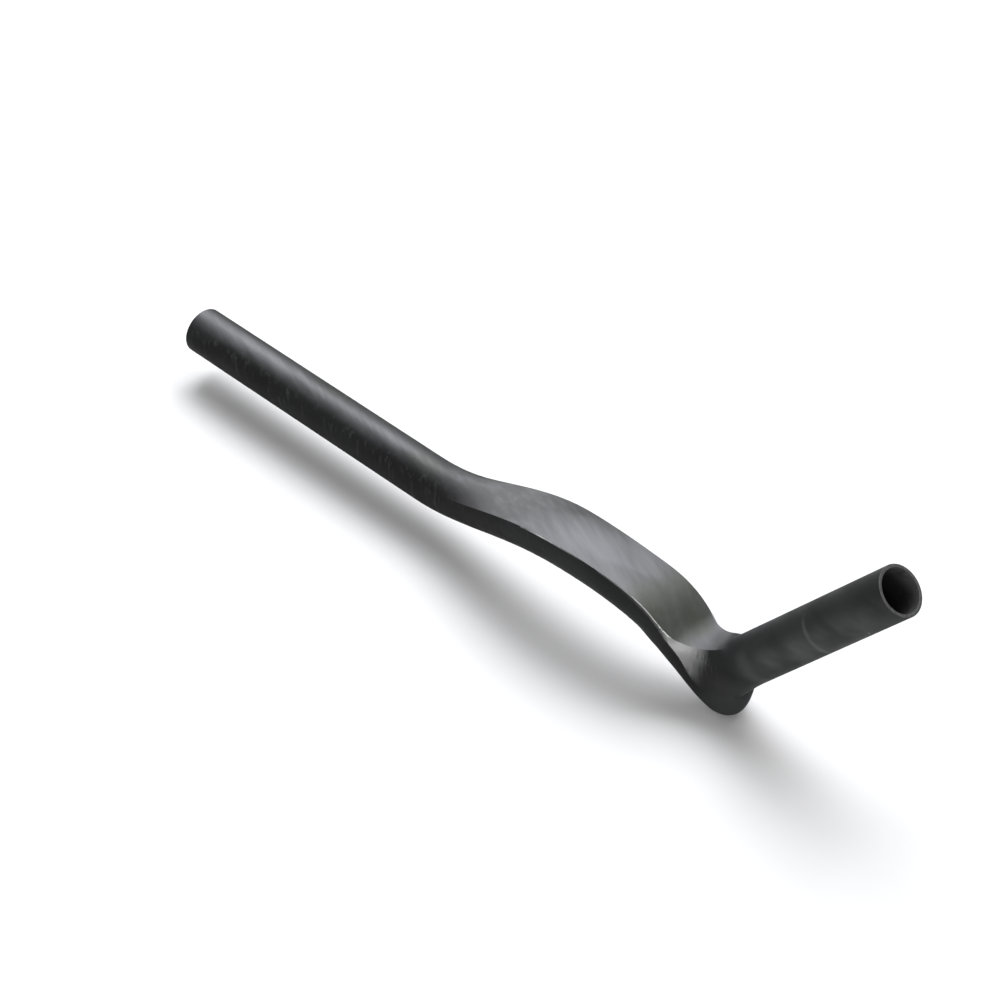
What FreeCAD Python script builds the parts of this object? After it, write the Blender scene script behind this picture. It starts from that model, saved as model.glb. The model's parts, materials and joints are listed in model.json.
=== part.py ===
import FreeCAD, Part
import math
import os
from dataclasses import dataclass

# Aero handlebar extension, the rider's right-hand one, as one moulded hollow piece: a straight
# round tube for the clamp, a flat-topped arm that rises and falls, a knuckle with a heel, and a
# round grip tube that climbs forward and inward.
# Frame: origin at the centre of the tube's rear end, +X forward along the tube, +Y towards the
# middle of the bicycle, +Z up. Millimetres and degrees.

# Round tube, the same for the clamped end and the grip
TUBE_OD = 22.2
WALL = 1.6
STRAIGHT_LENGTH = 151.5

# Grip: its axis starts at a foot that is level with the straight tube's axis
ARM_LENGTH = 173.5
GRIP_INSET = 7.4
GRIP_LENGTH = 100.5
GRIP_RISE = 49.5
GRIP_CANT = 11.8

# Top line of the arm: how far along from the straight tube, and how much higher than its top
LIFT_AT = 22.0
LIFT_HEIGHT = 3.1
CLIMB_AT = 47.0
CLIMB_HEIGHT = 9.6
CREST_AT = 87.0
CREST_HEIGHT = 15.9
SHOULDER_AT = 122.0
SHOULDER_HEIGHT = 13.2
FALL_ANGLE = 36.7
FALL_LENGTH = 8.6

# Valley between the arm's top and the grip, tangent to the grip this far above its foot
VALLEY_RADIUS = 14.5
VALLEY_ABOVE = 8.1

# Arm section: flat top between two rims, rounded underneath. The top is flat from FLAT_AT ahead
# of the straight tube.
ARM_WIDTH = 26.4
APEX_WIDTH = 25.8
FLAT_AT = 52.0
ARM_DEPTH = 21.5
SHOULDER_DEPTH = 21.2
CREST_CROWN = 1.1
SHOULDER_CROWN = 0.4
SIDE_BULGE = 0.8
WIDEST_DROP = 3.5
FULLNESS = 1.97
RIM_LAND = 0.5
TWIST = 4.2
SHOULDER_SWAY = 1.2
APEX_SWAY = 2.3

# Knuckle: the top face narrows to the grip while the side rims run down over the heel
HEEL_AHEAD = -1.9
HEEL_DROP = 14.0
HEEL_RADIUS = 9.5
UNDERSIDE_ANGLE = 28.4
HEEL_WIDTH = 23.0
HEEL_SHIFT = 4.3
SEAT_WIDTH = 23.7
ARRIS_EASE = 0.46
SEAT_DROP = 2.1
MIDDLE_DROP = 7.6
HEEL_WIDEST_DROP = 19.9
CORNER_DROP = 15.0
CORNER_WIDTH = 22.5
CORNER_SHIFT = 3.0
BORE_BEND_RADIUS = 9.0

# Where the corners of the section lie on the round tubes, as angles from the top
TUBE_RIM_ANGLE = 65.0
GRIP_TOP_ANGLE = 27.0

# Number of cross-sections along each stretch
ARM_SECTIONS = 20
UNDERSIDE_SECTIONS = 5
HEEL_SECTIONS = 10
ELBOW_SECTIONS = 6

TUBE_R = TUBE_OD / 2
START = STRAIGHT_LENGTH
CANT = math.radians(GRIP_CANT)


def heading(angle):
    """Unit vector in side view, (ahead, up), at this angle above the horizontal."""
    return (math.cos(math.radians(angle)), math.sin(math.radians(angle)))


def moved(point, direction, distance):
    return (point[0] + direction[0] * distance, point[1] + direction[1] * distance)


def mix(first, second, share):
    return first + (second - first) * share


def mixed(first, second, share):
    return (mix(first[0], second[0], share), mix(first[1], second[1], share))


def ease(share):
    """Goes smoothly from 0 to 1."""
    share = max(0.0, min(1.0, share))
    return share * share * (3 - 2 * share)


# Side view, in the (ahead, up) plane. The grip is described along its axis and square to it.
FOOT = (START + ARM_LENGTH, 0.0)
ALONG = heading(GRIP_RISE)
REARWARD = heading(GRIP_RISE + 90)
FRONT_LINE = moved(FOOT, REARWARD, -TUBE_R)
GRIP_BASE = moved(FOOT, ALONG, VALLEY_ABOVE)
VALLEY_CENTRE = moved(GRIP_BASE, REARWARD, TUBE_R + VALLEY_RADIUS)


def on_valley(slope):
    """Point of the valley's arc where the top line has this slope."""
    return moved(VALLEY_CENTRE, heading(slope - 90), VALLEY_RADIUS)


SEAT = on_valley(-FALL_ANGLE)
APEX = moved(SEAT, heading(-FALL_ANGLE), -FALL_LENGTH)
HEEL_CENTRE = (FOOT[0] + HEEL_AHEAD, FOOT[1] - HEEL_DROP)

LIFT, CLIMB, CREST, SHOULDER = (START + at for at in (LIFT_AT, CLIMB_AT, CREST_AT, SHOULDER_AT))
TOP_KNOTS = [
    (START, TUBE_R),
    (LIFT, TUBE_R + LIFT_HEIGHT),
    (CLIMB, TUBE_R + CLIMB_HEIGHT),
    (CREST, TUBE_R + CREST_HEIGHT),
    (SHOULDER, TUBE_R + SHOULDER_HEIGHT),
    APEX,
]

# Corners of the section where it lies on the round tubes
RIM_HALF = TUBE_R * math.sin(math.radians(TUBE_RIM_ANGLE))
TUBE_CROWN = TUBE_R - TUBE_R * math.cos(math.radians(TUBE_RIM_ANGLE))
GRIP_TOP_HALF = TUBE_R * math.sin(math.radians(GRIP_TOP_ANGLE))
GRIP_CROWN = TUBE_R - TUBE_R * math.cos(math.radians(GRIP_TOP_ANGLE))
GRIP_RIM_DROP = TUBE_R - GRIP_CROWN


def spline_bends(knots, first_slope, last_slope):
    """Second derivatives at the knots of the cubic spline with given slopes at its ends."""
    gaps = [b[0] - a[0] for a, b in zip(knots, knots[1:])]
    slopes = [first_slope] + [(b[1] - a[1]) / (b[0] - a[0]) for a, b in zip(knots, knots[1:])] + [last_slope]
    pivots = [2 * (before + after) for before, after in zip([0.0] + gaps, gaps + [0.0])]
    bends = [6 * (after - before) for before, after in zip(slopes, slopes[1:])]
    for i, gap in enumerate(gaps):
        bends[i + 1] -= bends[i] * gap / pivots[i]
        pivots[i + 1] -= gap * gap / pivots[i]
    bends[-1] /= pivots[-1]
    for i in reversed(range(len(gaps))):
        bends[i] = (bends[i] - gaps[i] * bends[i + 1]) / pivots[i]
    return bends


def spline_at(knots, bends, place):
    """Value and slope of the spline."""
    i = max(k for k in range(len(knots) - 1) if k == 0 or knots[k][0] <= place)
    (start, first), (end, last) = knots[i], knots[i + 1]
    gap, before, after = end - start, end - place, place - start
    value = (bends[i] * before ** 3 + bends[i + 1] * after ** 3) / (6 * gap)
    value += (first / gap - bends[i] * gap / 6) * before + (last / gap - bends[i + 1] * gap / 6) * after
    slope = (bends[i + 1] * after ** 2 - bends[i] * before ** 2) / (2 * gap)
    slope += (last - first) / gap - (bends[i + 1] - bends[i]) * gap / 6
    return value, slope


TOP_BENDS = spline_bends(TOP_KNOTS, 0.0, -math.tan(math.radians(FALL_ANGLE)))


def top_line(ahead):
    """Height of the arm's top line, and its slope in degrees, as far as the valley."""
    if ahead > APEX[0]:
        return mix(APEX[1], SEAT[1], (ahead - APEX[0]) / (SEAT[0] - APEX[0])), -FALL_ANGLE
    height, slope = spline_at(TOP_KNOTS, TOP_BENDS, ahead)
    return height, math.degrees(math.atan(slope))


def seat_depth(inset):
    """From the valley's start down to the underside, or to the bore's underside."""
    down, square = heading(-90 - FALL_ANGLE), heading(-90 - UNDERSIDE_ANGLE)
    offset = (SEAT[0] - HEEL_CENTRE[0]) * square[0] + (SEAT[1] - HEEL_CENTRE[1]) * square[1]
    return (HEEL_RADIUS - inset - offset) / (down[0] * square[0] + down[1] * square[1])


DEPTH_KNOTS = [(START, TUBE_OD), (CREST, ARM_DEPTH), (SHOULDER, SHOULDER_DEPTH), (SEAT[0], seat_depth(0.0))]
DEPTH_BENDS = spline_bends(DEPTH_KNOTS, 0.0, math.tan(math.radians(UNDERSIDE_ANGLE - FALL_ANGLE)))


def between(share, span, first, first_slope, last, last_slope):
    """Cubic from one value to another, with given slopes at both ends."""
    rest = 1 - share
    value = rest ** 2 * (1 + 2 * share) * first + share ** 2 * (3 - 2 * share) * last
    return value + share * rest * span * (rest * first_slope - share * last_slope)


def sway(ahead):
    """How far the top line has moved towards +Y."""
    drift = (APEX_SWAY - SHOULDER_SWAY) / (APEX[0] - SHOULDER)
    if ahead < SHOULDER:
        share = max(0.0, (ahead - CREST) / (SHOULDER - CREST))
        return between(share, SHOULDER - CREST, 0.0, 0.0, SHOULDER_SWAY, drift)
    if ahead < APEX[0]:
        return SHOULDER_SWAY + drift * (ahead - SHOULDER)
    end = on_valley(GRIP_RISE)[0]
    share = (ahead - APEX[0]) / (end - APEX[0])
    inset = GRIP_INSET + (end - FOOT[0]) * math.tan(CANT)
    return between(share, end - APEX[0], APEX_SWAY, drift, inset, math.tan(CANT))


def rims_below(ahead):
    """How far the rims lie below the top line, from the round tube to the flat valley."""
    if ahead < CREST:
        return mix(TUBE_CROWN, CREST_CROWN, ease((ahead - START) / (CREST - START)))
    if ahead < SHOULDER:
        return mix(CREST_CROWN, SHOULDER_CROWN, (ahead - CREST) / (SHOULDER - CREST))
    return mix(SHOULDER_CROWN, 0.0, (ahead - SHOULDER) / (SEAT[0] - SHOULDER))


def crown_at(ahead):
    """Rise of the arm's top between its rims. It flattens sooner than the rims come up."""
    flat = mix(TUBE_CROWN, CREST_CROWN, ease((ahead - START) / FLAT_AT))
    return min(flat, rims_below(ahead))


@dataclass(frozen=True)
class Section:
    """One cross-section of the skin. Its outline hangs from a point of the top line."""

    ahead: float
    inward: float
    up: float
    tilt: float           # how far the outline's down direction leans forward, degrees
    yaw: float            # turn of the plane towards +Y, degrees
    roll: float           # lean of the flat top towards +Y, degrees
    top_half: float       # half of the top's width, from middle to rim
    rim_level: float      # from the top line down to the rims
    crown: float          # rise of the top's middle above the rims
    rim_drop: float       # from the rims down to the lower corners
    widest_drop: float    # from the rims down to the largest width
    widest_half: float    # half of the largest width
    depth: float          # from the top line to the bottom
    shift: float          # how far the bottom has moved towards -Y
    fullness: float       # exponent of the lower outline, 2 for an ellipse
    flank_bow: float      # 0 for a flat flank, 1 for one that runs into the underside with no edge


def arm_section(ahead):
    """Section of the arm, between the straight tube and the valley."""
    height, slope = top_line(ahead)
    flat = ease((ahead - START) / (CREST - START))
    narrowing = ease((ahead - CREST) / (APEX[0] - CREST))
    falling = max(0.0, (ahead - APEX[0]) / (SEAT[0] - APEX[0]))
    turned, back = ease((ahead - CLIMB) / (SHOULDER - CLIMB)), ease((ahead - SHOULDER) / (SEAT[0] - SHOULDER))
    arm_half = mix(RIM_HALF, ARM_WIDTH / 2, flat)
    top_half = mix(mix(arm_half, APEX_WIDTH / 2, narrowing), SEAT_WIDTH / 2, falling ** 2)
    side_half = arm_half + mix(TUBE_R - RIM_HALF, SIDE_BULGE, flat)
    return Section(
        ahead, sway(ahead), height, slope, 0.0,
        roll=TWIST * (turned - back),
        top_half=top_half,
        rim_level=rims_below(ahead),
        crown=crown_at(ahead),
        rim_drop=mix(RIM_LAND, SEAT_DROP, falling ** 2),
        widest_drop=mix(TUBE_R - TUBE_CROWN, WIDEST_DROP, flat),
        widest_half=mix(side_half, APEX_WIDTH / 2 + SIDE_BULGE, narrowing),
        depth=spline_at(DEPTH_KNOTS, DEPTH_BENDS, ahead)[0],
        shift=0.0,
        fullness=mix(2.0, FULLNESS, flat),
        flank_bow=0.0,
    )


def slope_at(bottom):
    """Slope of the valley where the rib to this point of the lower outline starts."""
    return math.degrees(math.atan2(bottom[0] - VALLEY_CENTRE[0], VALLEY_CENTRE[1] - bottom[1]))


def heel_corner():
    """Where the heel's arc meets the front line of the grip."""
    reach = (HEEL_CENTRE[0] - FRONT_LINE[0], HEEL_CENTRE[1] - FRONT_LINE[1])
    aside = reach[0] * REARWARD[0] + reach[1] * REARWARD[1]
    along = reach[0] * ALONG[0] + reach[1] * ALONG[1]
    return moved(FRONT_LINE, ALONG, along + math.sqrt(HEEL_RADIUS ** 2 - aside ** 2))


def rounded(centre, radius, last, inset):
    """Points of the lower outline: along the underside and round the arc that it runs into."""
    first = -90 - UNDERSIDE_ANGLE
    start = moved(SEAT, heading(-90 - FALL_ANGLE), seat_depth(inset))
    tangent = moved(centre, heading(first), radius)
    underside = [mixed(start, tangent, i / UNDERSIDE_SECTIONS) for i in range(UNDERSIDE_SECTIONS)]
    angles = [mix(first, last, i / HEEL_SECTIONS) for i in range(HEEL_SECTIONS + 1)]
    return underside + [moved(centre, heading(angle), radius) for angle in angles]


def bore_bend():
    """Centre of the arc that leads the bore's underside into its front line."""
    below, ahead = heading(-90 - UNDERSIDE_ANGLE), heading(GRIP_RISE - 90)
    inward = WALL + BORE_BEND_RADIUS
    low = below[0] * HEEL_CENTRE[0] + below[1] * HEEL_CENTRE[1] + HEEL_RADIUS - inward
    front = ahead[0] * FRONT_LINE[0] + ahead[1] * FRONT_LINE[1] - inward
    scale = below[0] * ahead[1] - below[1] * ahead[0]
    return ((low * ahead[1] - front * below[1]) / scale, (front * below[0] - low * ahead[0]) / scale)


CORNER = heel_corner()
CORNER_SHARE = (slope_at(CORNER) + FALL_ANGLE) / (GRIP_RISE + FALL_ANGLE)
MIDDLE_SHARE = CORNER_SHARE * 0.4
HEEL_SHARE = CORNER_SHARE * 0.72
DROP_KNOTS = [
    (0.0, SEAT_DROP),
    (MIDDLE_SHARE, MIDDLE_DROP),
    (HEEL_SHARE, HEEL_WIDEST_DROP),
    (CORNER_SHARE, CORNER_DROP),
    (1.0, GRIP_RIM_DROP),
]
SEAT_RISE = 2 * (SEAT_DROP - RIM_LAND) / FALL_LENGTH * VALLEY_RADIUS * math.radians(GRIP_RISE + FALL_ANGLE)
DROP_BENDS = spline_bends(DROP_KNOTS, SEAT_RISE, 0.0)
WIDTH_KNOTS = [
    (0.0, APEX_WIDTH / 2 + SIDE_BULGE),
    (HEEL_SHARE, HEEL_WIDTH / 2),
    (CORNER_SHARE, CORNER_WIDTH / 2),
    (1.0, TUBE_R),
]
WIDTH_BENDS = spline_bends(WIDTH_KNOTS, 0.0, 0.0)
SHIFT_KNOTS = [(0.0, 0.0), (HEEL_SHARE, HEEL_SHIFT), (CORNER_SHARE, CORNER_SHIFT), (1.0, 0.0)]
SHIFT_BENDS = spline_bends(SHIFT_KNOTS, 0.0, 0.0)


def rib_section(bottom, inset):
    """Section of the knuckle, square to the valley, down to this point of the lower outline."""
    slope = slope_at(bottom)
    top = on_valley(slope)
    share = (slope + FALL_ANGLE) / (GRIP_RISE + FALL_ANGLE)
    before_corner = ease(share / CORNER_SHARE)
    past_corner = ease((share - CORNER_SHARE) / (1 - CORNER_SHARE))
    drop = spline_at(DROP_KNOTS, DROP_BENDS, share)[0]
    return Section(
        top[0], sway(top[0]), top[1], slope,
        yaw=GRIP_CANT * ease(share),
        roll=0.0,
        top_half=mix(SEAT_WIDTH / 2, GRIP_TOP_HALF, share * (1 + ARRIS_EASE * (1 - share))),
        rim_level=GRIP_CROWN * past_corner,
        crown=GRIP_CROWN * past_corner,
        rim_drop=drop,
        widest_drop=drop + (WIDEST_DROP - SEAT_DROP) * (1 - before_corner),
        widest_half=spline_at(WIDTH_KNOTS, WIDTH_BENDS, share)[0],
        depth=math.dist(top, bottom) + inset,
        shift=spline_at(SHIFT_KNOTS, SHIFT_BENDS, share)[0],
        fullness=mix(FULLNESS, 2.0, before_corner),
        flank_bow=before_corner,
    )


def arm_sections():
    """From the straight tube to the valley's start, the last one short of it."""
    places = [mix(START, APEX[0], i / ARM_SECTIONS) for i in range(ARM_SECTIONS + 1)]
    return [arm_section(ahead) for ahead in places + [mix(APEX[0], SEAT[0], 0.5)]]


def heel_sections(inset):
    """From the valley's start, along the underside and round the heel, to the grip's front line."""
    if inset:
        points = rounded(bore_bend(), BORE_BEND_RADIUS, GRIP_RISE - 90, inset)
    else:
        last = math.degrees(math.atan2(CORNER[1] - HEEL_CENTRE[1], CORNER[0] - HEEL_CENTRE[0]))
        points = rounded(HEEL_CENTRE, HEEL_RADIUS, last, inset)
    return [rib_section(bottom, inset) for bottom in points]


def elbow_sections(inset):
    """From there to the round grip."""
    start = moved(bore_bend(), heading(GRIP_RISE - 90), BORE_BEND_RADIUS) if inset else CORNER
    first = slope_at(start)
    reach = VALLEY_RADIUS + TUBE_OD - inset
    sections = []
    for i in range(ELBOW_SECTIONS + 1):
        slope = mix(first, GRIP_RISE, i / ELBOW_SECTIONS)
        on_front = reach / math.cos(math.radians(GRIP_RISE - slope))
        sections.append(rib_section(moved(VALLEY_CENTRE, heading(slope - 90), on_front), inset))
    return sections


def top_outline(section, count=9):
    """From the -Y rim to the +Y rim: points sideways and down from the top line."""
    shares = [i / (count - 1) for i in range(count)]
    half_turn = 2 * math.atan2(section.crown, section.top_half)
    if half_turn < 1e-6:
        return [(mix(-section.top_half, section.top_half, share), section.rim_level) for share in shares]
    radius = section.top_half / math.sin(half_turn)
    centre = section.rim_level - section.crown + radius
    angles = [mix(-half_turn, half_turn, share) for share in shares]
    return [(radius * math.sin(angle), centre - radius * math.cos(angle)) for angle in angles]


def lower_point(section, angle):
    """Point of the +Y lower outline.

    The angle is 0 at the largest width and minus a quarter turn at the bottom.
    """
    level = section.rim_level + section.widest_drop
    if angle > 0:
        above = section.widest_drop
        if section.top_half < section.widest_half:
            above /= math.sqrt(1 - (section.top_half / section.widest_half) ** 2)
        return (section.widest_half * math.cos(angle), level - above * math.sin(angle))
    power = 2 / section.fullness
    aside, down = abs(math.cos(angle)) ** power, math.sin(-angle) ** power
    return (section.widest_half * aside, level + (section.depth - level) * down)


def lower_start(section):
    """Angle of the lower corner on the lower outline."""
    undercut = section.rim_drop - section.widest_drop
    if undercut < 0:
        level = section.top_half / section.widest_half
        return math.asin(-undercut * math.sqrt(1 - level ** 2) / section.widest_drop)
    below = section.depth - section.rim_level - section.widest_drop
    return -math.asin((undercut / below) ** (section.fullness / 2))


def lower_outline(section, count=17):
    """From the +Y lower corner to the middle of the bottom."""
    first = lower_start(section)
    return [lower_point(section, mix(first, -math.pi / 2, i / (count - 1))) for i in range(count)]


def flank_outline(section, count=7):
    """From the +Y rim to the +Y lower corner, leaving each with its own direction."""
    first = lower_start(section)
    rim, corner = (section.top_half, section.rim_level), lower_point(section, first)
    before, after = lower_point(section, first + 0.001), lower_point(section, first - 0.001)
    chord = math.atan2(corner[1] - rim[1], corner[0] - rim[0])
    turn = math.atan2(after[1] - before[1], after[0] - before[0]) - chord
    bends = (math.radians(90 - GRIP_TOP_ANGLE) / 2 * section.flank_bow, turn * section.flank_bow)
    handles = [math.dist(rim, corner) / (3 * math.cos(bend / 2) ** 2) for bend in bends]
    leave = moved(rim, heading(math.degrees(chord - bends[0])), handles[0])
    arrive = moved(corner, heading(math.degrees(chord + bends[1])), -handles[1])
    points = []
    for i in range(count):
        share = i / (count - 1)
        near, middle, far = mixed(rim, leave, share), mixed(leave, arrive, share), mixed(arrive, corner, share)
        points.append(mixed(mixed(near, middle, share), mixed(middle, far, share), share))
    return points


def outline(section):
    """The four stretches of the closed outline: top, +Y flank, underside, -Y flank."""
    lower = lower_outline(section)
    flank = flank_outline(section)
    other_lower = [(-aside, down) for aside, down in reversed(lower[:-1])]
    other_flank = [(-aside, down) for aside, down in reversed(flank)]
    return [top_outline(section), flank, lower + other_lower, other_flank]


def place(section, point, inset=0.0):
    """Space position of an outline's point. The bore's outline is drawn in by the wall all round."""
    level = section.rim_level + section.widest_drop
    low = max(0.0, point[1] - level) / (section.depth - level)
    aside = point[0] * (1 - inset / section.widest_half) - section.shift * low ** 2
    drop = inset + point[1] * (1 - 2 * inset / section.depth)
    forward, turned, lean = heading(section.tilt - 90), heading(section.yaw), heading(section.roll)
    down = (forward[0] * turned[0], forward[0] * turned[1], forward[1])
    side = (-turned[1], turned[0], 0.0)
    start = (section.ahead, section.inward, section.up)
    across, below = aside * lean[0] - drop * lean[1], aside * lean[1] + drop * lean[0]
    return tuple(start[i] + side[i] * across + down[i] * below for i in range(3))


def smooth_edge(points):
    """Edge through all the points."""
    curve = Part.BSplineCurve()
    shares = [i / (len(points) - 1) for i in range(len(points))]
    curve.interpolate(Points=[FreeCAD.Vector(*point) for point in points], Parameters=shares)
    return curve.toShape()


def round_edge(section, stretch, inset):
    """Arc of the round tube from the stretch's first point to its last."""
    middle = stretch[len(stretch) // 2]
    reach = TUBE_R / math.dist(middle, (0.0, TUBE_R))
    on_circle = (middle[0] * reach, TUBE_R + (middle[1] - TUBE_R) * reach)
    ends = [FreeCAD.Vector(*place(section, p, inset)) for p in (stretch[0], on_circle, stretch[-1])]
    return Part.Arc(*ends).toShape()


def section_wire(section, inset, is_round=False):
    """The section's closed outline in space, of arcs where it is round."""
    if is_round:
        return Part.Wire([round_edge(section, stretch, inset) for stretch in outline(section)])
    stretches = [[place(section, point, inset) for point in stretch] for stretch in outline(section)]
    return Part.Wire([smooth_edge(stretch) for stretch in stretches])


def tube_run(radius):
    """The straight round tube's cylinder."""
    return Part.makeCylinder(radius, START, FreeCAD.Vector(0, 0, 0), FreeCAD.Vector(1, 0, 0))


def grip_run(radius):
    """The round grip's cylinder, from the end of the valley to the mouth."""
    axis = FreeCAD.Vector(ALONG[0] * math.cos(CANT), ALONG[0] * math.sin(CANT), ALONG[1])
    base = FreeCAD.Vector(*place(elbow_sections(0.0)[-1], (0.0, TUBE_R)))
    return Part.makeCylinder(radius, GRIP_LENGTH - VALLEY_ABOVE, base, axis)


def body(inset):
    """Solid inside the skin, or inside the bore's wall."""
    first, *middle = arm_sections() + heel_sections(inset)
    *elbow, last = elbow_sections(inset)
    to_corner = [section_wire(first, inset, is_round=True)] + [section_wire(s, inset) for s in middle]
    to_grip = [section_wire(s, inset) for s in elbow] + [section_wire(last, inset, is_round=True)]
    lofts = [to_corner + to_grip[1:]] if inset else [to_corner, to_grip]
    parts = [Part.makeLoft(wires, True) for wires in lofts] + [grip_run(TUBE_R - inset)]
    return tube_run(TUBE_R - inset).fuse(parts)


def main():
    extension = body(0.0).cut(body(WALL))
    os.makedirs("parts", exist_ok=True)
    extension.exportStep("parts/extension.step")


main()
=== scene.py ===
"""Looks of an aero handlebar extension: one hollow carbon moulding with a clamp tube, a
flat-topped arm, a knuckle with a heel, and a round grip tube with a sawn mouth.

Everything is in metres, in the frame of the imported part: the origin is at the centre of the
clamp tube's rear end, +X runs forward along the tube and +Z is up.
"""
import json
import logging
import math
from dataclasses import dataclass, field
from enum import Enum
from typing import Union

import bmesh
import bpy
from mathutils import Matrix, Vector


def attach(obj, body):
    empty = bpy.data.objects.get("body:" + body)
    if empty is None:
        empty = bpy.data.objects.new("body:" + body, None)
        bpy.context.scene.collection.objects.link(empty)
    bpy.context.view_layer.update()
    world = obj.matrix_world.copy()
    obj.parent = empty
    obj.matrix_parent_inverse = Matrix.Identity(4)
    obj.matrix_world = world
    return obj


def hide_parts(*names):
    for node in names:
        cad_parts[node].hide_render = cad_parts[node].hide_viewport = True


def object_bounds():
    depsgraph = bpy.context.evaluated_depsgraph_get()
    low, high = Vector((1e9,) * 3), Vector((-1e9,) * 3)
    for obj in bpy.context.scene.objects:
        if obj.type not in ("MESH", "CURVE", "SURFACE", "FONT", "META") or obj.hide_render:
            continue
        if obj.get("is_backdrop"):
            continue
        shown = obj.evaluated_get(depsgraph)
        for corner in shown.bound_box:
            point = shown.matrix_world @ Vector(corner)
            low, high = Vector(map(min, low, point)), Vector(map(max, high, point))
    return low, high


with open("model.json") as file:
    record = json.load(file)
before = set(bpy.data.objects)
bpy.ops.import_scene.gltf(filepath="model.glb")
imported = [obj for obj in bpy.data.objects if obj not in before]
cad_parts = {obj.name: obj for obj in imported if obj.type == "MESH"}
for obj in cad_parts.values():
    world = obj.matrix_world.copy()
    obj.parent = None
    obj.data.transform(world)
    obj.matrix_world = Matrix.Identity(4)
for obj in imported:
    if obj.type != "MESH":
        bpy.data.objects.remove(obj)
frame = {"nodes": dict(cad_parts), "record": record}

LOG = logging.getLogger("extension")
NODE = "extension"
PIECE = "carbon_moulding"
# face attribute that marks the rim lands for a painted highlight
RIM_GLINT = "rim_glint"
SIDEWAYS = Vector((0, 1, 0))
UPWARDS = Vector((0, 0, 1))

Triple = tuple[float, float, float]
Colour = tuple[float, float, float, float]
Socket = bpy.types.NodeSocket
Input = Union[Socket, float, tuple]


def grey(value: float, tint: Triple = (1.0, 1.0, 1.0)) -> Colour:
    """Linear colour of this brightness, leaning towards the tint."""
    return (value * tint[0], value * tint[1], value * tint[2], 1.0)


class Surface(Enum):
    """Which of the moulding's surfaces a face belongs to; the value is its material slot."""

    SKIN = 0
    BORE = 1
    CUT = 2


@dataclass(frozen=True)
class RoundTube:
    """A round run of the moulding: the centre of its mouth, and the way that the mouth faces."""

    mouth: Vector
    outward: Vector

    @classmethod
    def from_mount(cls, name: str) -> "RoundTube":
        """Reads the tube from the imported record.

        Args:
            name: Name of the mount on the tube.

        Returns:
            The tube.
        """
        mount = next(mount for mount in frame["record"]["mounts"] if mount["name"] == name)
        return cls(Vector(mount["pos_m"]), Vector(mount["axis"]).normalized())


CLAMP_TUBE = RoundTube.from_mount("clamp_length")
GRIP_TUBE = RoundTube.from_mount("grip_outside")


@dataclass(frozen=True)
class Ramp:
    """A smooth ramp from the first result, at the low value, to the last one, at the high value.

    A low value above the high one makes a ramp that counts backwards.
    """

    low: float
    high: float
    first: float = 0.0
    last: float = 1.0


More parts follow.
